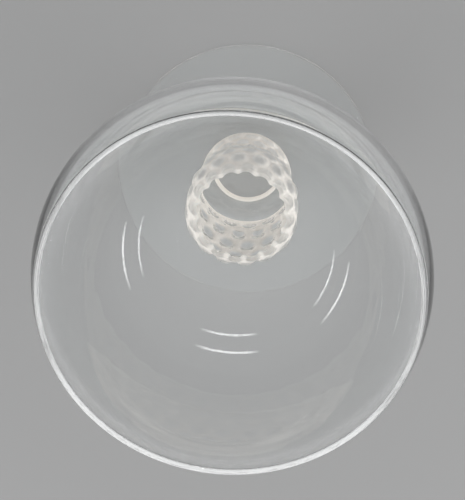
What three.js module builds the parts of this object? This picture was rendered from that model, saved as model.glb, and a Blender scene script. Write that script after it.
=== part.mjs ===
// A cognac glass: a clear blown bowl on a hollow frosted stem with rows of bosses, a merese and a clear foot.
// Units are millimetres, +Z is up, and the origin is the centre of the face that the glass stands on.
import * as THREE from 'three';

// Foot
const footRadius = 36;
const footEdge = 1.6;
const footCrown = 2.6;
const footSeatRadius = 9.5;

// Merese, the wafer of clear glass between the foot and the stem
const mereseRadius = 7.6;
const mereseHeight = 1.6;

// Stem
const stemHeight = 37;
const stemBaseRadius = 12.6;
const stemBaseRound = 1;
const stemCollarHeight = 2.2;
const stemWaistRadius = 12.3;
const stemWaistHeight = 9;
const stemBellyRadius = 14.7;
const stemBellyDrop = 9.4;
const stemTopRadius = 12.2;

// Hollow of the stem, whose inner side follows the bosses at an even wall
const hollowFloorHeight = 11.5;
const hollowRound = 1;
const stemWall = 1.2;

// Bosses of the stem, in staggered rows counted down from its top edge
const bossesAround = 16;
const bossRowPitch = 5.8;
const bossHeight = 6.6;
const bossRise = 0.7;
const bossGap = 0.5;

// Bowl
const bowlDepth = 53.8;
const bowlFloorThickness = 4;
const bowlFloorRadius = 13;
const bowlShoulderDrop = 14;
const bowlWidestRadius = 39;
const rimDrawIn = 3;
const rimWall = 1.1;

// Facets of the round pieces
const roundFacets = 64;
const smallFacets = 40;
const facetsPerBoss = 6;
const stepsPerRow = 4;

// Sizes that follow from those above, each piece standing on the one below it
const mereseBottom = footCrown;
const stemBottom = mereseBottom + mereseHeight;
const stemTop = stemBottom + stemHeight;
const bowlFloor = stemTop + bowlFloorThickness;
const rimTop = bowlFloor + bowlDepth;
const bowlWidest = rimTop - bowlShoulderDrop;
const rimRadius = bowlWidestRadius - rimDrawIn;
const stemBellyHeight = stemHeight - stemBellyDrop;

// Finishes: colourless crystal, and the same glass with an acid-frosted skin
const crystalFinish = { color: 0xeef3f4, roughness: 0.03, metalness: 0 };
const frostedFinish = { color: 0xe9e2da, roughness: 0.55, metalness: 0 };

const point = (radius, height) => new THREE.Vector2(radius, height);

// Points along the arc of an ellipse in the radius and height plane, both ends included
function arc(centreRadius, centreHeight, halfWidth, halfHeight, startAngle, endAngle, steps) {
  const points = [];
  for (let step = 0; step <= steps; step += 1) {
    const angle = startAngle + ((endAngle - startAngle) * step) / steps;
    const radius = centreRadius + halfWidth * Math.cos(angle);
    const height = centreHeight + halfHeight * Math.sin(angle);
    points.push(point(radius, height));
  }
  return points;
}

// A solid of revolution about +Z from an outline that starts and ends on the axis, going up its outer side
function turned(outline, facets) {
  return new THREE.LatheGeometry(outline, facets).rotateX(Math.PI / 2);
}

function piece(name, geometry, finish) {
  const mesh = new THREE.Mesh(geometry, new THREE.MeshStandardMaterial(finish));
  mesh.name = name;
  return mesh;
}

// Foot: a thin disc with a rounded edge whose upper side sweeps up to a flat seat for the merese
function makeFoot() {
  const edgeRound = footEdge / 2;
  const edgeCentre = footRadius - edgeRound;
  const sweepSteps = 6;
  const edgeSteps = 4;
  const outline = [point(0, 0)];
  outline.push(...arc(edgeCentre, edgeRound, edgeRound, edgeRound, -Math.PI / 2, Math.PI / 2, edgeSteps));
  for (let step = 1; step <= sweepSteps; step += 1) {
    const share = step / sweepSteps;
    const radius = THREE.MathUtils.lerp(edgeCentre, footSeatRadius, share);
    outline.push(point(radius, THREE.MathUtils.lerp(footEdge, footCrown, share * share)));
  }
  outline.push(point(0, footCrown));
  return turned(outline, roundFacets);
}

// Merese: a wafer with a half-round edge and two flat sides
function makeMerese() {
  const edgeRound = mereseHeight / 2;
  const edgeSteps = 4;
  const outline = [point(0, mereseBottom)];
  outline.push(
    ...arc(
      mereseRadius - edgeRound,
      mereseBottom + edgeRound,
      edgeRound,
      edgeRound,
      -Math.PI / 2,
      Math.PI / 2,
      edgeSteps,
    ),
  );
  outline.push(point(0, stemBottom));
  return turned(outline, smallFacets);
}

// Radius over the stem's bosses at a height above its underside: base, waist, belly and round shoulder
function stemSide(height) {
  if (height <= stemWaistHeight) {
    const rise = (1 - Math.cos((Math.PI * height) / stemWaistHeight)) / 2;
    return THREE.MathUtils.lerp(stemBaseRadius, stemWaistRadius, rise);
  }
  if (height <= stemBellyHeight) {
    const share = (height - stemWaistHeight) / (stemBellyHeight - stemWaistHeight);
    return THREE.MathUtils.lerp(stemWaistRadius, stemBellyRadius, (1 - Math.cos(Math.PI * share)) / 2);
  }
  const share = (height - stemBellyHeight) / stemBellyDrop;
  const drop = 1 - (stemTopRadius / stemBellyRadius) ** 2;
  return stemBellyRadius * Math.sqrt(1 - drop * share * share);
}

// Depth of the valleys between the bosses at an angle round the stem and a height above its underside
function valleyDepth(angle, height) {
  const bossesPassed = (angle * bossesAround) / (2 * Math.PI);
  const aboveCollar = THREE.MathUtils.smoothstep(height, stemCollarHeight, stemCollarHeight + bossRise);
  const halfPitch = (Math.PI * stemSide(height)) / bossesAround;
  const halfWidth = halfPitch - bossGap / 2;
  const nearestRow = Math.round((stemHeight - height) / bossRowPitch);
  let highest = 0;
  for (let row = nearestRow - 1; row <= nearestRow + 1; row += 1) {
    const centreHeight = stemHeight - row * bossRowPitch;
    if (row >= 0 && centreHeight > stemCollarHeight) {
      const shifted = bossesPassed + (row % 2) / 2;
      const across = (shifted - Math.round(shifted)) * 2 * halfPitch;
      const along = height - centreHeight;
      highest = Math.max(highest, 1 - (across / halfWidth) ** 2 - (along / (bossHeight / 2)) ** 2);
    }
  }
  return bossRise * (1 - highest) * aboveCollar;
}

// Stem: a waisted hollow knop on thick glass, rounded at its lower edge and open at the top under the bowl,
// its outer side set with staggered rows of bosses above a plain collar
function makeStem() {
  const roundSteps = 4;
  const rowStep = bossRowPitch / stepsPerRow;
  const sideSteps = Math.floor((stemHeight - stemBaseRound) / rowStep);
  const hollowRoundTop = hollowFloorHeight + hollowRound;
  const hollowRoundCentre = stemSide(hollowRoundTop) - bossRise - stemWall - hollowRound;
  const hollowSteps = Math.floor((stemHeight - hollowRoundTop) / rowStep);
  const outline = [point(0, 0)];
  for (let step = 0; step < roundSteps; step += 1) {
    const angle = (Math.PI / 2) * (step / roundSteps);
    const height = stemBaseRound * (1 - Math.cos(angle));
    outline.push(point(stemSide(height) - stemBaseRound * (1 - Math.sin(angle)), height));
  }
  for (let step = sideSteps; step >= 0; step -= 1) {
    const height = stemHeight - step * rowStep;
    outline.push(point(stemSide(height), height));
  }
  for (let step = 0; step <= hollowSteps; step += 1) {
    const height = stemHeight - step * rowStep;
    outline.push(point(stemSide(height) - stemWall, height));
  }
  const sidePoints = outline.length;
  outline.push(
    ...arc(hollowRoundCentre, hollowRoundTop, hollowRound, hollowRound, 0, -Math.PI / 2, roundSteps),
  );
  outline.push(point(0, hollowFloorHeight));
  const geometry = turned(outline, bossesAround * facetsPerBoss);
  const position = geometry.getAttribute('position');
  for (let index = 0; index < position.count; index += 1) {
    const radius = Math.hypot(position.getX(index), position.getY(index));
    const angle = Math.atan2(position.getY(index), position.getX(index));
    const height = position.getZ(index);
    const isOnSide = index % outline.length < sidePoints;
    if (isOnSide && radius > 0) {
      const kept = 1 - valleyDepth(angle, height) / radius;
      position.setX(index, position.getX(index) * kept);
      position.setY(index, position.getY(index) * kept);
    }
  }
  return geometry.translate(0, 0, stemBottom);
}

// Bowl: a thin-walled tulip on a thick flat floor, with a rounded lip
function makeBowl() {
  const lipRound = rimWall / 2;
  const lipHeight = rimTop - lipRound;
  const curveSteps = 9;
  const shoulderSteps = 4;
  const lipSteps = 4;
  const outerStart = Math.acos(stemTopRadius / bowlWidestRadius);
  const outerReach = (bowlWidest - stemTop) / Math.sin(outerStart);
  const innerRadius = bowlWidestRadius - rimWall;
  const innerStart = Math.acos(bowlFloorRadius / innerRadius);
  const innerReach = (bowlWidest - bowlFloor) / Math.sin(innerStart);
  const shoulderEnd = Math.acos(rimRadius / bowlWidestRadius);
  const shoulderReach = (lipHeight - bowlWidest) / Math.sin(shoulderEnd);
  const innerEnd = Math.acos((rimRadius - rimWall) / innerRadius);
  const innerShoulderReach = (lipHeight - bowlWidest) / Math.sin(innerEnd);
  const outline = [point(0, stemTop)];
  outline.push(...arc(0, bowlWidest, bowlWidestRadius, outerReach, -outerStart, 0, curveSteps));
  outline.push(
    ...arc(0, bowlWidest, bowlWidestRadius, shoulderReach, 0, shoulderEnd, shoulderSteps).slice(1),
  );
  outline.push(...arc(rimRadius - lipRound, lipHeight, lipRound, lipRound, 0, Math.PI, lipSteps).slice(1));
  outline.push(
    ...arc(0, bowlWidest, innerRadius, innerShoulderReach, innerEnd, 0, shoulderSteps).slice(1),
  );
  outline.push(...arc(0, bowlWidest, innerRadius, innerReach, 0, -innerStart, curveSteps).slice(1));
  outline.push(point(0, bowlFloor));
  return turned(outline, roundFacets);
}

const cognacGlass = new THREE.Group();
cognacGlass.add(piece('foot', makeFoot(), crystalFinish));
cognacGlass.add(piece('merese', makeMerese(), crystalFinish));
cognacGlass.add(piece('stem', makeStem(), frostedFinish));
cognacGlass.add(piece('bowl', makeBowl(), crystalFinish));

export default cognacGlass;
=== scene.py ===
"""Cognac glass: clear bowl, hollow frosted stem with bosses, merese and foot, on a pale studio floor."""
import math

import bpy
from mathutils import Matrix, Vector


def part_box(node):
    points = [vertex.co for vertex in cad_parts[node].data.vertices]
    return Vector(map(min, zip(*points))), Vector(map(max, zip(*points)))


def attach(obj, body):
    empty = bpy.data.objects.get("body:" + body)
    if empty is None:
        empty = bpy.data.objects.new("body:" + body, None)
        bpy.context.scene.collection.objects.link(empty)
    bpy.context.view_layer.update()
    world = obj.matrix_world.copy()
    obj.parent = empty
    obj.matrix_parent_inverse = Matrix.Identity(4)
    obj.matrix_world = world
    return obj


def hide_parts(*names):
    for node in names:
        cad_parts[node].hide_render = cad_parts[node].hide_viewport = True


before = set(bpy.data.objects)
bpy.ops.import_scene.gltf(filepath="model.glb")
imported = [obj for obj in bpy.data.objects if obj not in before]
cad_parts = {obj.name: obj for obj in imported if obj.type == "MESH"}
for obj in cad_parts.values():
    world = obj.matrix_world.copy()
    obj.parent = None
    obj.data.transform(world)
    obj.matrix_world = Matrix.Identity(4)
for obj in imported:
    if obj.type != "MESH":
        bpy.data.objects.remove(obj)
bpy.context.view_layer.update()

bl_info = {
    "name": "Cognac Glass",
    "version": (1, 0, 0),
    "blender": (4, 5, 0),
    "location": "View3D > Sidebar > Glass",
    "description": "Builds a short-stemmed cognac glass with a hollow frosted stem set with bosses",
    "category": "Object",
}

MM = 0.001
BODY = "root"
SHARP_CORNER = math.radians(40)
GLASS_IOR = 1.53

# Columns of the round meshes
ROUND_COLUMNS = 256
COLUMNS_PER_BOSS = 16

# Noise in the materials, in cells per metre
WAVES = 55
SMEARS = 90
FROST_GRAIN = 5200
FROST_PATCHES = 420

# The photograph's frame and the camera fitted to it, with lengths on the picture in its pixels
PHOTO_WIDTH = 465
PHOTO_HEIGHT = 500
FOCAL_LENGTH = 871.0
AIM_X = 238.9
AIM_Y = 229.8
AIM_HEIGHT = 54 * MM
CAMERA_TILT = math.radians(18.31)
CAMERA_ROLL = math.radians(8.04)
CAMERA_DISTANCE = 5.586 * 36 * MM

# Lamps: thin strips that show as streaks on the bowl, with name, place, width and watts, and two wide fills
STRIPS = (
    ("front", (0.05, -0.9, 0.17), 0.95, 0.07),
    ("left", (0.9, -0.12, 0.09), 0.6, 0.036),
    ("right", (-0.9, -0.05, 0.09), 0.6, 0.036),
)
STRIP_HEIGHT = 0.025
STRIP_SPREAD = math.radians(40)
FILLS = (("side", (-0.8, 0.15, 0.6)), ("back", (0.75, 0.6, 0.5)))
FILL_SIZE = 0.9
FILL_WATTS = 7.6
LAMP_AIM = Vector((0, 0, 0.05))
BOUNCES = 32

# Floor: half its side, its depth under the glass, and where it starts and ends turning into the backdrop
FLOOR_HALF = 6.0
FLOOR_DROP = 0.2 * MM
FADE_START = 0.1
FADE_END = 0.6

FOOT_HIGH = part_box("foot")[1]
MERESE_LOW, MERESE_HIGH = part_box("merese")
STEM_LOW, STEM_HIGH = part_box("stem")
BOWL_LOW, BOWL_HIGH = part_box("bowl")


# Properties


def length(label, description, default):
    """A size in metres with its own field in the panel."""
    return bpy.props.FloatProperty(
        name=label, description=description, default=default, min=0, unit="LENGTH", precision=5
    )


def share(label, description, default):
    """A number from 0 to 1."""
    return bpy.props.FloatProperty(
        name=label, description=description, default=default, min=0, max=1, subtype="FACTOR"
    )


def count(label, description, default):
    """A whole number of things."""
    return bpy.props.IntProperty(name=label, description=description, default=default, min=1)


def colour(label, description, default):
    """A colour in linear light."""
    return bpy.props.FloatVectorProperty(
        name=label, description=description, default=default, size=4, min=0, max=1, subtype="COLOR"
    )


class FootSizes(bpy.types.PropertyGroup):
    """Sizes of the foot and of the merese on it."""

    radius: length("Radius", "Radius of the foot", FOOT_HIGH.x)
    edge: length("Edge", "Thickness at the rounded edge", 1.6 * MM)
    crown: length("Crown", "Height of the flat boss under the merese", FOOT_HIGH.z)
    boss_radius: length("Boss radius", "Radius of the flat boss", 9.5 * MM)
    merese_radius: length("Merese radius", "Radius of the merese", MERESE_HIGH.x)
    merese_height: length("Merese height", "Height of the merese", MERESE_HIGH.z - MERESE_LOW.z)


class StemSizes(bpy.types.PropertyGroup):
    """Sizes of the stem and its bosses."""

    bottom: length("Bottom", "Height of the stem's underside above the table", STEM_LOW.z)
    height: length("Height", "Height of the stem", STEM_HIGH.z - STEM_LOW.z)
    base_radius: length("Base radius", "Radius at the underside", 12.6 * MM)
    base_round: length("Base round", "Rounding of the lower edge", 1 * MM)
    collar_height: length("Collar height", "Height of the plain band below the bosses", 2.2 * MM)
    waist_radius: length("Waist radius", "Radius at the waist", 12.3 * MM)
    waist_height: length("Waist height", "Height of the waist above the underside", 9 * MM)
    belly_radius: length("Belly radius", "Radius at the belly", 14.7 * MM)
    belly_drop: length("Belly drop", "Distance of the belly below the top", 9.4 * MM)
    top_radius: length("Top radius", "Radius at the top", 12.2 * MM)
    wall: length("Wall", "Even wall around the hollow", 1.2 * MM)
    hollow_floor: length("Hollow floor", "Height of the hollow's floor above the underside", 11.5 * MM)
    hollow_round: length("Hollow round", "Rounding at the edge of the hollow's floor", 1 * MM)
    rim_gap: length("Rim gap", "Hair-thin gap that keeps the frosted rim apart from the bowl", 0.04 * MM)
    bosses_around: count("Bosses around", "Bosses in one row", 16)
    row_pitch: length("Row pitch", "Distance from row to row", 5.8 * MM)
    boss_height: length("Boss height", "Height of one boss along the stem", 6.6 * MM)
    boss_rise: length("Boss rise", "How far a boss stands out of its valley", 0.7 * MM)
    boss_gap: length("Boss gap", "Width of the valley between two bosses of a row", 0.5 * MM)
    valley_softness: share("Valley softness", "Rounding of the valleys, as a share of a boss's rise", 0.12)


class BowlSizes(bpy.types.PropertyGroup):
    """Sizes of the bowl."""

    bottom: length("Bottom", "Height of the seam with the stem", BOWL_LOW.z)
    top: length("Top", "Height of the lip", BOWL_HIGH.z)
    widest_radius: length("Widest radius", "Radius at the widest place", BOWL_HIGH.x)
    shoulder_drop: length("Shoulder drop", "Distance of the widest place below the lip", 14 * MM)
    rim_draw_in: length("Draw-in", "How far the lip is drawn in from the widest radius", 3 * MM)
    rim_wall: length("Lip wall", "Wall at the lip", 1.1 * MM)
    floor_thickness: length("Floor thickness", "Glass under the inside of the floor", 4 * MM)
    floor_radius: length("Floor radius", "Radius of the flat inside floor", 13 * MM)
    ledge: length("Ledge", "How far the bowl's underside reaches past the stem's top", 0.05 * MM)


class GlassFinish(bpy.types.PropertyGroup):
    """Colours and gloss of the two finishes."""

    crystal_colour: colour("Crystal", "Tint of the clear crystal", (0.975, 0.985, 0.985, 1))
    frost_colour: colour("Frost", "Warm white of the frosted skin", (0.985, 0.935, 0.88, 1))
    frost_roughness: share("Frost roughness", "Roughness of the frosted skin", 0.5)
    frost_glow: share("Frost glow", "Share of the light on the skin that shines through it", 0.25)
    tip_roughness: share("Tip roughness", "Roughness of the clearer tops of the bosses", 0.3)
    crystal_shade: colour("Crystal shade", "Light that a crystal face lets through", (0.955, 0.96, 0.96, 1))
    frost_shade: colour("Frost shade", "Light that a frosted face lets through", (0.8, 0.795, 0.79, 1))
    smear_roughness: share("Smear roughness", "Roughness of faint wiping marks on the crystal", 0.05)


class StageSettings(bpy.types.PropertyGroup):
    """Colours of the stage."""

    floor_colour: colour("Floor", "Colour of the floor", (0.315, 0.315, 0.315, 1))
    light_colour: colour("Light", "Soft light from all around", (0.44, 0.443, 0.446, 1))
    horizon_colour: colour("Horizon", "Pale backdrop at eye level", (0.65, 0.653, 0.656, 1))
    ceiling_colour: colour("Ceiling", "Pale backdrop overhead, as the glass sees it", (1, 1, 1, 1))


class CognacGlass(bpy.types.PropertyGroup):
    """Everything a user would change on the glass and its stage."""

    foot: bpy.props.PointerProperty(type=FootSizes)
    stem: bpy.props.PointerProperty(type=StemSizes)
    bowl: bpy.props.PointerProperty(type=BowlSizes)
    finish: bpy.props.PointerProperty(type=GlassFinish)
    stage: bpy.props.PointerProperty(type=StageSettings)


# Node trees


class Wire:
    """A value in a node tree. Sums on it add Math nodes to the tree."""

    def __init__(self, board, socket):
        self.board = board
        self.socket = socket

    def math(self, operation, *values):
        return self.board.wire("ShaderNodeMath", {"operation": operation}, dict(enumerate(values)))

    def __add__(self, other):
        return self.math("ADD", self, other)

    def __sub__(self, other):
        return self.math("SUBTRACT", self, other)

    def __rsub__(self, other):
        return self.math("SUBTRACT", other, self)

    def __mul__(self, other):
        return self.math("MULTIPLY", self, other)

    def __rmul__(self, other):
        return self.math("MULTIPLY", other, self)

    def __truediv__(self, other):
        return self.math("DIVIDE", self, other)

    def __gt__(self, other):
        return self.math("GREATER_THAN", self, other)

    def root(self):
        return self.math("SQRT", self)

    def nearest(self):
        return self.math("ROUND", self)

    def most(self, other):
        return self.math("MAXIMUM", self, other)


class Board:
    """A node tree to which nodes are added by type, settings and socket values or links."""

    def __init__(self, tree):
        self.tree = tree

    def add(self, kind, settings=None, sockets=None):
        node = self.tree.nodes.new(kind)
        for name, value in (settings or {}).items():
            setattr(node, name, value)
        for key, value in (sockets or {}).items():
            socket = self.pick(node.inputs, key)
            if isinstance(value, Wire):
                self.tree.links.new(value.socket, socket)
            else:
                socket.default_value = value
        return node

    def pick(self, sockets, key):
        """The socket with that place, or the first one in use with that name."""
        if isinstance(key, int):
            return sockets[key]
        return next(socket for socket in sockets if socket.name == key and socket.enabled)

    def wire(self, kind, settings=None, sockets=None, output=0):
        return Wire(self, self.pick(self.add(kind, settings, sockets).outputs, output))

    def spread(self, value, from_low, from_high, to_low, to_high):
        """A value carried smoothly from one range to another and held at its ends."""
        sockets = {0: value, 1: from_low, 2: from_high, 3: to_low, 4: to_high}
        return self.wire("ShaderNodeMapRange", {"interpolation_type": "SMOOTHSTEP"}, sockets)

    def blend(self, factor, first, second):
        """A colour between two others."""
        sockets = {"Factor": factor, "A": first, "B": second}
        return self.wire("ShaderNodeMix", {"data_type": "RGBA"}, sockets, "Result")


def new_material(name):
    """An empty material with its board and its output node."""
    material = bpy.data.materials.new(name)
    material.use_nodes = True
    material.node_tree.nodes.clear()
    board = Board(material.node_tree)
    return material, board, board.add("ShaderNodeOutputMaterial")


def show(board, output, shader):
    board.tree.links.new(shader.socket, output.inputs["Surface"])


def seen_rays(board):
    """1 for what the camera sees, straight or in the glass, and 0 for the light that falls on things."""
    paths = board.add("ShaderNodeLightPath")
    rays = ("Is Camera Ray", "Is Glossy Ray", "Is Transmission Ray")
    camera, glossy, through = (Wire(board, paths.outputs[name]) for name in rays)
    return camera.most(glossy).most(through)


def let_through(board, shader, shade, rays):
    """A glass shader that lets this kind of ray straight through, so that its shadow is a light one."""
    chosen = board.wire("ShaderNodeLightPath", output=rays)
    through = board.wire("ShaderNodeBsdfTransparent", None, {"Color": shade})
    return board.wire("ShaderNodeMixShader", None, {0: chosen, 1: shader, 2: through})


def crystal_material(finish):
    """Clear polished crystal with the faint waves of blown glass and dry wiping marks."""
    if "polished_crystal" in bpy.data.materials:
        return bpy.data.materials["polished_crystal"]
    material, board, output = new_material("polished_crystal")
    place = board.wire("ShaderNodeTexCoord", output="Object")
    waves = board.wire("ShaderNodeTexNoise", None, {"Vector": place, "Scale": WAVES, "Detail": 1.0})
    stretched = board.wire("ShaderNodeMapping", None, {"Vector": place, "Scale": (1, 1, 4)})
    smears = board.wire("ShaderNodeTexNoise", None, {"Vector": stretched, "Scale": SMEARS, "Detail": 3.0})
    bump = board.wire(
        "ShaderNodeBump", None, {"Strength": 0.25, "Distance": 0.08 * MM, "Height": waves}, "Normal"
    )
    glass = board.wire(
        "ShaderNodeBsdfPrincipled",
        None,
        {
            "Base Color": tuple(finish.crystal_colour),
            "Roughness": board.spread(smears, 0.58, 0.75, 0.0, finish.smear_roughness),
            "IOR": GLASS_IOR,
            "Transmission Weight": 1.0,
            "Normal": bump,
        },
    )
    for rays in ("Is Diffuse Ray", "Is Shadow Ray"):
        glass = let_through(board, glass, tuple(finish.crystal_shade), rays)
    show(board, output, glass)
    return material


def frosted_material(finish):
    """Crystal with a satin frosted skin that thins out on the tops of the bosses."""
    if "satin_frost" in bpy.data.materials:
        return bpy.data.materials["satin_frost"]
    material, board, output = new_material("satin_frost")
    place = board.wire("ShaderNodeTexCoord", output="Object")
    rise = board.wire("ShaderNodeAttribute", {"attribute_name": "boss"}, output="Fac")
    grain, patches = (
        board.wire("ShaderNodeTexNoise", None, {"Vector": place, "Scale": scale, "Detail": 2.0})
        for scale in (FROST_GRAIN, FROST_PATCHES)
    )
    unevenness = (patches - 0.5) * 0.3
    # The skin is nearly whole in the valleys and nearly gone from two thirds of a boss's rise upwards
    clear = board.spread(rise + unevenness * 0.2, 0.1, 0.65, 0.02, 0.95)
    bump = board.wire(
        "ShaderNodeBump", None, {"Strength": 0.35, "Distance": 0.03 * MM, "Height": grain}, "Normal"
    )
    skin = board.wire(
        "ShaderNodeBsdfPrincipled",
        None,
        {
            "Base Color": tuple(finish.frost_colour),
            "Roughness": unevenness + finish.frost_roughness,
            "IOR": 1.3,
            "Normal": bump,
        },
    )
    tip = board.wire(
        "ShaderNodeBsdfPrincipled",
        None,
        {
            "Base Color": tuple(finish.crystal_colour),
            "Roughness": finish.tip_roughness,
            "IOR": GLASS_IOR,
            "Transmission Weight": 1.0,
        },
    )
    glow = board.wire("ShaderNodeBsdfTranslucent", None, {"Color": tuple(finish.frost_colour)})
    skin = board.wire("ShaderNodeMixShader", None, {0: finish.frost_glow, 1: skin, 2: glow})
    satin = board.wire("ShaderNodeMixShader", None, {0: clear, 1: skin, 2: tip})
    show(board, output, let_through(board, satin, tuple(finish.frost_shade), "Is Shadow Ray"))
    return material


def seam_material():
    """The hot seams, where two pieces are one glass and light goes straight on."""
    if "fused_seam" in bpy.data.materials:
        return bpy.data.materials["fused_seam"]
    material, board, output = new_material("fused_seam")
    sockets = {"Base Color": (1, 1, 1, 1), "Alpha": 0.0, "Roughness": 0.0, "IOR": GLASS_IOR}
    show(board, output, board.wire("ShaderNodeBsdfPrincipled", None, sockets))
    return material


# Meshes


def arc(centre, half_size, start, end, steps):
    """Points on an ellipse in the radius and height plane, both ends included."""
    points = []
    for step in range(steps + 1):
        angle = start + (end - start) * step / steps
        radius = centre[0] + half_size[0] * math.cos(angle)
        points.append((radius, centre[1] + half_size[1] * math.sin(angle)))
    return points


def between(first, second, steps):
    """Points on a straight line, without its first end."""
    return [
        (first[0] + (second[0] - first[0]) * step / steps, first[1] + (second[1] - first[1]) * step / steps)
        for step in range(1, steps + 1)
    ]


def turned(name, outline, columns, finishes):
    """A closed mesh of revolution from an outline that goes from the axis up its outer side to the axis.

    An outline point is (radius, height), and finishes gives the material index of the band that follows it.
    """
    rings, places, faces, indices = [], [], [], []
    for radius, height in outline:
        if radius == 0:
            rings.append([len(places)])
            places.append((0, 0, height))
            continue
        rings.append(range(len(places), len(places) + columns))
        for column in range(columns):
            angle = 2 * math.pi * column / columns
            places.append((radius * math.cos(angle), radius * math.sin(angle), height))
    for band, (low, high) in enumerate(zip(rings, rings[1:])):
        for column in range(columns):
            after = (column + 1) % columns
            if len(low) == 1:
                faces.append((low[0], high[after], high[column]))
            elif len(high) == 1:
                faces.append((low[column], low[after], high[0]))
            else:
                faces.append((low[column], low[after], high[after], high[column]))
            indices.append(finishes[band])
    mesh = bpy.data.meshes.new(name)
    mesh.from_pydata(places, [], faces)
    mesh.polygons.foreach_set("material_index", indices)
    mesh.polygons.foreach_set("use_smooth", [True] * len(faces))
    mesh.update()
    return mesh


def finish_piece(name, mesh, node):
    """Links the piece, hides the CAD node that it stands for and lets it ride on the glass's body."""
    mesh.set_sharp_from_angle(angle=SHARP_CORNER)
    piece = bpy.data.objects.new(name, mesh)
    bpy.context.scene.collection.objects.link(piece)
    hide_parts(node)
    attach(piece, BODY)
    return piece


def stem_side(stem, height):
    """Radius of the stem's plain side at a height above its underside."""
    belly_height = stem.height - stem.belly_drop
    if height <= stem.waist_height:
        ease = (1 - math.cos(math.pi * height / stem.waist_height)) / 2
        return stem.base_radius + (stem.waist_radius - stem.base_radius) * ease
    if height <= belly_height:
        along = (height - stem.waist_height) / (belly_height - stem.waist_height)
        ease = (1 - math.cos(math.pi * along)) / 2
        return stem.waist_radius + (stem.belly_radius - stem.waist_radius) * ease
    fall = 1 - (stem.top_radius / stem.belly_radius) ** 2
    return stem.belly_radius * math.sqrt(1 - fall * ((height - belly_height) / stem.belly_drop) ** 2)


def stem_columns(stem):
    return stem.bosses_around * COLUMNS_PER_BOSS


def seat_radius(foot):
    """Radius of the merese's flat sides, which are fused to the stem and the foot."""
    return foot.merese_radius - foot.merese_height / 2


def stem_bosses_tree():
    """Geometry nodes that raise staggered rows of bosses on the side of a plain stem."""
    group = bpy.data.node_groups.new("stem_bosses", "GeometryNodeTree")
    face = group.interface
    face.new_socket("Geometry", in_out="INPUT", socket_type="NodeSocketGeometry")
    for name in ("Collar Top", "Stem Top", "Row Pitch", "Boss Height", "Boss Rise", "Boss Gap", "Softness"):
        face.new_socket(name, in_out="INPUT", socket_type="NodeSocketFloat")
    face.new_socket("Bosses Around", in_out="INPUT", socket_type="NodeSocketInt")
    for name in ("Frosted", "Polished", "Seam"):
        face.new_socket(name, in_out="INPUT", socket_type="NodeSocketMaterial")
    face.new_socket("Geometry", in_out="OUTPUT", socket_type="NodeSocketGeometry")
    board = Board(group)
    given = board.add("NodeGroupInput")

    def size(name):
        return Wire(board, given.outputs[name])

    def marked(name, kind):
        return board.wire("GeometryNodeInputNamedAttribute", {"data_type": kind}, {"Name": name})

    position = board.wire("GeometryNodeInputPosition")
    parts = board.add("ShaderNodeSeparateXYZ", None, {0: position})
    x, y, z = (Wire(board, parts.outputs[axis]) for axis in "XYZ")
    plain = marked("plain_radius", "FLOAT")
    radius = (x * x + y * y).root()
    passed = y.math("ARCTAN2", y, x) * size("Bosses Around") / (2 * math.pi)
    half_pitch = math.pi * plain / size("Bosses Around")
    half_width = half_pitch - size("Boss Gap") / 2
    half_height = size("Boss Height") / 2
    nearest_row = ((size("Stem Top") - z) / size("Row Pitch")).nearest()
    highest = None
    for step in (-1, 0, 1):
        row = nearest_row + step
        centre = size("Stem Top") - row * size("Row Pitch")
        shifted = passed + row.math("FLOORED_MODULO", row, 2) / 2
        across = (shifted - shifted.nearest()) * 2 * half_pitch / half_width
        along = (z - centre) / half_height
        there = (row > -0.5) * (centre > size("Collar Top"))
        dome = (2 - across * across - along * along) * there - 1
        highest = dome if highest is None else highest.most(dome)
    soft = (highest + (highest * highest + size("Softness") * size("Softness")).root()) / 2
    above = board.spread(z - size("Collar Top"), 0, size("Boss Rise"), 0, 1) * marked("on_side", "FLOAT")
    kept = 1 - (1 - soft) * size("Boss Rise") * above / radius.most(1e-6)
    raised = board.wire("ShaderNodeCombineXYZ", None, {0: x * kept, 1: y * kept, 2: z})
    named = board.wire(
        "GeometryNodeStoreNamedAttribute",
        {"data_type": "FLOAT", "domain": "POINT"},
        {"Geometry": size("Geometry"), "Name": "boss", "Value": soft * above},
    )
    shaped = board.wire("GeometryNodeSetPosition", None, {"Geometry": named, "Position": raised})
    dressed = board.wire("GeometryNodeRealizeInstances", None, {"Geometry": shaped})
    sockets = {"Geometry": dressed, "Material": size("Frosted")}
    dressed = board.wire("GeometryNodeSetMaterial", None, sockets)
    for mark, material in (("polished", "Polished"), ("fused", "Seam")):
        sockets = {"Geometry": dressed, "Selection": marked(mark, "BOOLEAN"), "Material": size(material)}
        dressed = board.wire("GeometryNodeSetMaterial", None, sockets)
    board.add("NodeGroupOutput", None, {"Geometry": dressed})
    return group


# Operators


class AddFoot(bpy.types.Operator):
    """Adds the clear foot with its rounded edge and low boss."""

    bl_idname = "cognac_glass.add_foot"
    bl_label = "Add Foot"

    def execute(self, context):
        glass = context.scene.cognac_glass
        foot = glass.foot
        under_steps, edge_steps, sweep_steps = 12, 14, 24
        edge = foot.edge / 2
        rim = foot.radius - edge
        outline = [(0, 0)] + between((0, 0), (rim, 0), under_steps)
        outline += arc((rim, edge), (edge, edge), -math.pi / 2, math.pi / 2, edge_steps)[1:]
        for step in range(1, sweep_steps + 1):
            along = step / sweep_steps
            reach = rim + (foot.boss_radius - rim) * along
            outline.append((reach, foot.edge + (foot.crown - foot.edge) * along**2))
        outline.append((seat_radius(foot), foot.crown))
        finishes = [0] * (len(outline) - 1) + [1]
        outline.append((0, foot.crown))
        mesh = turned("foot_crystal", outline, ROUND_COLUMNS, finishes)
        mesh.materials.append(crystal_material(glass.finish))
        mesh.materials.append(seam_material())
        finish_piece("foot_crystal", mesh, "foot")
        return {"FINISHED"}


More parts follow.
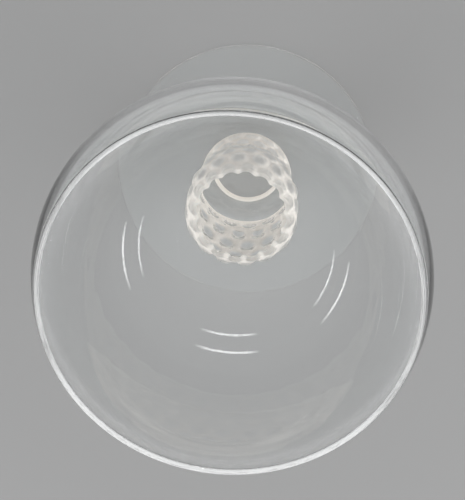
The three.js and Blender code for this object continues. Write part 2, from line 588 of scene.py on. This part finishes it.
class AddMerese(bpy.types.Operator):
    """Adds the merese between the foot and the stem, with a frosted rounded edge and fused flat sides."""

    bl_idname = "cognac_glass.add_merese"
    bl_label = "Add Merese"

    def execute(self, context):
        glass = context.scene.cognac_glass
        foot = glass.foot
        edge_steps = 16
        edge = foot.merese_height / 2
        seat = seat_radius(foot)
        outline = [(0, foot.crown)]
        outline += arc((seat, foot.crown + edge), (edge, edge), -math.pi / 2, math.pi / 2, edge_steps)
        finishes = [1] + [0] * (len(outline) - 2) + [1]
        outline.append((0, foot.crown + foot.merese_height))
        mesh = turned("merese_crystal", outline, ROUND_COLUMNS, finishes)
        mesh.materials.append(frosted_material(glass.finish))
        mesh.materials.append(seam_material())
        finish_piece("merese_crystal", mesh, "merese")
        return {"FINISHED"}


class AddStem(bpy.types.Operator):
    """Adds the hollow frosted stem, its bosses raised by geometry nodes."""

    bl_idname = "cognac_glass.add_stem"
    bl_label = "Add Stem"

    def execute(self, context):
        glass = context.scene.cognac_glass
        stem = glass.stem
        low, high = stem.bottom, stem.bottom + stem.height
        maker = bpy.data.objects.new("plain_stem", self.plain_stem(glass, low))
        context.scene.collection.objects.link(maker)
        modifier = maker.modifiers.new("bosses", "NODES")
        modifier.node_group = stem_bosses_tree()
        values = {
            "Collar Top": low + stem.collar_height,
            "Stem Top": high,
            "Row Pitch": stem.row_pitch,
            "Boss Height": stem.boss_height,
            "Boss Rise": stem.boss_rise,
            "Boss Gap": stem.boss_gap,
            "Softness": stem.valley_softness,
            "Bosses Around": stem.bosses_around,
            "Frosted": frosted_material(glass.finish),
            "Polished": crystal_material(glass.finish),
            "Seam": seam_material(),
        }
        for item in modifier.node_group.interface.items_tree:
            if item.in_out == "INPUT" and item.name in values:
                modifier[item.identifier] = values[item.name]
        context.view_layer.update()
        evaluated = maker.evaluated_get(context.evaluated_depsgraph_get())
        mesh = bpy.data.meshes.new_from_object(evaluated)
        mesh.name = "stem_frosted"
        maker.modifiers.remove(modifier)
        bpy.data.objects.remove(maker)
        for name in ("plain_radius", "on_side", "polished", "fused"):
            mesh.attributes.remove(mesh.attributes[name])
        finish_piece("stem_frosted", mesh, "stem")
        return {"FINISHED"}

    def plain_stem(self, glass, low):
        """The stem without its bosses, with marks for its outer side, its polished faces and its seams."""
        stem = glass.stem
        round_steps, side_steps, hollow_steps = 10, 110, 60
        rim = stem.height - stem.rim_gap
        rings = [(0, low, 1, 0), (seat_radius(glass.foot), low, 1, 0)]
        for step in range(round_steps):
            angle = math.pi / 2 * step / round_steps
            height = stem.base_round * (1 - math.cos(angle))
            side = stem_side(stem, height)
            rings.append((side - stem.base_round * (1 - math.sin(angle)), low + height, side, 1))
        for step in range(side_steps + 1):
            height = stem.base_round + (rim - stem.base_round) * step / side_steps
            side = stem_side(stem, height)
            rings.append((side, low + height, side, 1))
        top = len(rings) - 1
        round_top = stem.hollow_floor + stem.hollow_round
        for step in range(hollow_steps):
            height = rim + (round_top - rim) * step / hollow_steps
            side = stem_side(stem, height)
            rings.append((side - stem.wall, low + height, side, 1))
        turn_radius = stem_side(stem, round_top) - stem.boss_rise - stem.wall - stem.hollow_round
        turn = (turn_radius, low + round_top)
        turn_size = (stem.hollow_round, stem.hollow_round)
        for radius, height in arc(turn, turn_size, 0, -math.pi / 2, round_steps):
            rings.append((radius, height, 1, 0))
        rings.append((0, low + stem.hollow_floor, 1, 0))
        columns = stem_columns(stem)
        mesh = turned("plain_stem", [ring[:2] for ring in rings], columns, [0] * (len(rings) - 1))
        for name, place in (("plain_radius", 2), ("on_side", 3)):
            values = [ring[place] for ring in rings for _ in range(columns if ring[0] else 1)]
            mesh.attributes.new(name, "FLOAT", "POINT").data.foreach_set("value", values)
        inside = range(top + 1, len(rings) - 1)
        for name, bands in (("fused", {0}), ("polished", {1, *inside})):
            values = [face // columns in bands for face in range(len(mesh.polygons))]
            mesh.attributes.new(name, "BOOLEAN", "FACE").data.foreach_set("value", values)
        return mesh


class AddBowl(bpy.types.Operator):
    """Adds the clear bowl with its thick flat floor and rounded lip."""

    bl_idname = "cognac_glass.add_bowl"
    bl_label = "Add Bowl"

    def execute(self, context):
        glass = context.scene.cognac_glass
        bowl, stem = glass.bowl, glass.stem
        curve_steps, shoulder_steps, lip_steps, floor_steps = 64, 20, 12, 6
        ledge = stem.top_radius + bowl.ledge
        widest = bowl.top - bowl.shoulder_drop
        floor = bowl.bottom + bowl.floor_thickness
        lip = bowl.rim_wall / 2
        lip_height = bowl.top - lip
        rim = bowl.widest_radius - bowl.rim_draw_in
        inside = bowl.widest_radius - bowl.rim_wall
        outer_start = math.acos(ledge / bowl.widest_radius)
        outer_reach = (widest - bowl.bottom) / math.sin(outer_start)
        inner_start = math.acos(bowl.floor_radius / inside)
        inner_reach = (widest - floor) / math.sin(inner_start)
        rim_end = math.acos(rim / bowl.widest_radius)
        rim_reach = (lip_height - widest) / math.sin(rim_end)
        inner_end = math.acos((rim - bowl.rim_wall) / inside)
        inner_rim_reach = (lip_height - widest) / math.sin(inner_end)
        outline = [(0, bowl.bottom)]
        outline += arc((0, widest), (bowl.widest_radius, outer_reach), -outer_start, 0, curve_steps)
        outline += arc((0, widest), (bowl.widest_radius, rim_reach), 0, rim_end, shoulder_steps)[1:]
        outline += arc((rim - lip, lip_height), (lip, lip), 0, math.pi, lip_steps)[1:]
        outline += arc((0, widest), (inside, inner_rim_reach), inner_end, 0, shoulder_steps)[1:]
        outline += arc((0, widest), (inside, inner_reach), 0, -inner_start, curve_steps)[1:]
        outline += between((bowl.floor_radius, floor), (0.5 * MM, floor), floor_steps)
        outline.append((0, floor))
        mesh = turned("bowl_crystal", outline, stem_columns(stem), [0] * (len(outline) - 1))
        mesh.materials.append(crystal_material(glass.finish))
        finish_piece("bowl_crystal", mesh, "bowl")
        return {"FINISHED"}


class AddStage(bpy.types.Operator):
    """Adds the pale floor, the soft studio light and the camera."""

    bl_idname = "cognac_glass.add_stage"
    bl_label = "Add Stage"

    def execute(self, context):
        settings = context.scene.cognac_glass.stage
        self.add_floor(context, settings)
        self.add_world(context, settings)
        for name, place, width, watts in STRIPS:
            strip = self.add_soft_box(context, name, place, width, STRIP_HEIGHT, watts)
            strip.data.spread = STRIP_SPREAD
        for name, place in FILLS:
            fill = self.add_soft_box(context, name, place, FILL_SIZE, FILL_SIZE, FILL_WATTS)
            fill.visible_glossy = False
            fill.visible_transmission = False
        self.add_camera(context)
        self.set_light_paths(context.scene)
        return {"FINISHED"}

    def set_light_paths(self, scene):
        """Enough bounces for light that runs along inside the walls, and no traced caustics."""
        scene.view_settings.view_transform = "Standard"
        scene.cycles.use_denoising = True
        scene.cycles.max_bounces = BOUNCES
        scene.cycles.glossy_bounces = BOUNCES
        scene.cycles.transmission_bounces = BOUNCES
        scene.cycles.transparent_max_bounces = BOUNCES
        scene.cycles.caustics_reflective = False
        scene.cycles.caustics_refractive = False

    def add_floor(self, context, settings):
        """A pale floor that turns into the backdrop, for the camera and the glass, at some distance."""
        half, below = FLOOR_HALF, -FLOOR_DROP
        mesh = bpy.data.meshes.new("floor")
        corners = [(-half, -half, below), (half, -half, below), (half, half, below), (-half, half, below)]
        mesh.from_pydata(corners, [], [(0, 1, 2, 3)])
        floor = bpy.data.objects.new("floor", mesh)
        context.scene.collection.objects.link(floor)
        material, board, output = new_material("floor_paper")
        place = board.wire("ShaderNodeTexCoord", output="Object")
        parts = board.add("ShaderNodeSeparateXYZ", None, {0: place})
        x, y = Wire(board, parts.outputs["X"]), Wire(board, parts.outputs["Y"])
        far = board.spread((x * x + y * y).root(), FADE_START, FADE_END, 0.0, 1.0)
        sockets = {"Base Color": tuple(settings.floor_colour), "Roughness": 0.8}
        paper = board.wire("ShaderNodeBsdfPrincipled", None, sockets)
        sockets = {"Color": tuple(settings.horizon_colour), "Strength": 1.0}
        backdrop = board.wire("ShaderNodeEmission", None, sockets)
        sockets = {0: far * seen_rays(board), 1: paper, 2: backdrop}
        show(board, output, board.wire("ShaderNodeMixShader", None, sockets))
        mesh.materials.append(material)

    def add_world(self, context, settings):
        """Even light from all around, and the pale backdrop for the camera and the glass."""
        world = bpy.data.worlds.new("studio")
        context.scene.world = world
        world.use_nodes = True
        world.node_tree.nodes.clear()
        board = Board(world.node_tree)
        way = board.wire("ShaderNodeTexCoord", output="Generated")
        rise = board.wire("ShaderNodeSeparateXYZ", None, {0: way}, "Z")
        overhead = board.spread(rise, 0.1, 0.7, 0.0, 1.0)
        horizon, ceiling = tuple(settings.horizon_colour), tuple(settings.ceiling_colour)
        backdrop = board.blend(overhead, horizon, ceiling)
        sky = board.blend(seen_rays(board), tuple(settings.light_colour), backdrop)
        light = board.wire("ShaderNodeBackground", None, {"Color": sky, "Strength": 1.0})
        board.add("ShaderNodeOutputWorld", None, {"Surface": light})

    def add_soft_box(self, context, name, place, width, height, watts):
        """A soft lamp aimed at the glass, hidden from the camera, and round where it is as wide as high."""
        light = bpy.data.lights.new(name, "AREA")
        light.shape = "DISK" if width == height else "RECTANGLE"
        light.size = width
        light.size_y = height
        light.energy = watts
        lamp = bpy.data.objects.new(name, light)
        context.scene.collection.objects.link(lamp)
        lamp.location = place
        lamp.visible_camera = False
        aim = LAMP_AIM - Vector(place)
        lamp.rotation_euler = aim.to_track_quat("-Z", "Y").to_euler()
        return lamp

    def add_camera(self, context):
        """A camera that looks down into the bowl, tilted off the glass's axis and rolled a little."""
        tilt, roll = CAMERA_TILT, CAMERA_ROLL
        aim_x, aim_y = AIM_X - PHOTO_WIDTH / 2, AIM_Y - PHOTO_HEIGHT / 2
        back = Vector((0, -math.sin(tilt), math.cos(tilt)))
        right = Vector((-1, 0, 0))
        up = Vector((0, -math.cos(tilt), -math.sin(tilt)))
        across = right * math.cos(roll) + up * math.sin(roll)
        above = up * math.cos(roll) - right * math.sin(roll)
        looking = Matrix((across, above, back)).transposed()
        off_centre = Vector((aim_x, -aim_y, -FOCAL_LENGTH)).normalized()
        turn = Vector((0, 0, -1)).rotation_difference(off_centre).to_matrix()
        place = Vector((0, 0, AIM_HEIGHT)) + back * CAMERA_DISTANCE
        lens = bpy.data.cameras.new("camera")
        lens.sensor_width = 36
        lens.lens = FOCAL_LENGTH * lens.sensor_width / PHOTO_HEIGHT
        lens.clip_start = 1 * MM
        camera = bpy.data.objects.new("camera", lens)
        context.scene.collection.objects.link(camera)
        camera.matrix_world = Matrix.Translation(place) @ (looking @ turn.inverted()).to_4x4()
        context.scene.camera = camera


class GlassPanel(bpy.types.Panel):
    """Lists the steps that build the glass and the sizes that they use."""

    bl_idname = "VIEW3D_PT_cognac_glass"
    bl_label = "Cognac Glass"
    bl_space_type = "VIEW_3D"
    bl_region_type = "UI"
    bl_category = "Glass"

    def draw(self, context):
        glass = context.scene.cognac_glass
        for operator in OPERATORS:
            self.layout.operator(operator.bl_idname)
        for title in ("foot", "stem", "bowl", "finish", "stage"):
            box = self.layout.box()
            box.label(text=title.capitalize())
            group = getattr(glass, title)
            for name in group.__annotations__:
                box.prop(group, name)


GROUPS = (FootSizes, StemSizes, BowlSizes, GlassFinish, StageSettings, CognacGlass)
OPERATORS = (AddFoot, AddMerese, AddStem, AddBowl, AddStage)


def register():
    for item in (*GROUPS, *OPERATORS, GlassPanel):
        bpy.utils.register_class(item)
    bpy.types.Scene.cognac_glass = bpy.props.PointerProperty(type=CognacGlass)


def unregister():
    del bpy.types.Scene.cognac_glass
    for item in reversed((*GROUPS, *OPERATORS, GlassPanel)):
        bpy.utils.unregister_class(item)


def main():
    register()
    bpy.ops.cognac_glass.add_foot()
    bpy.ops.cognac_glass.add_merese()
    bpy.ops.cognac_glass.add_stem()
    bpy.ops.cognac_glass.add_bowl()
    bpy.ops.cognac_glass.add_stage()


if __name__ == "__main__":
    main()
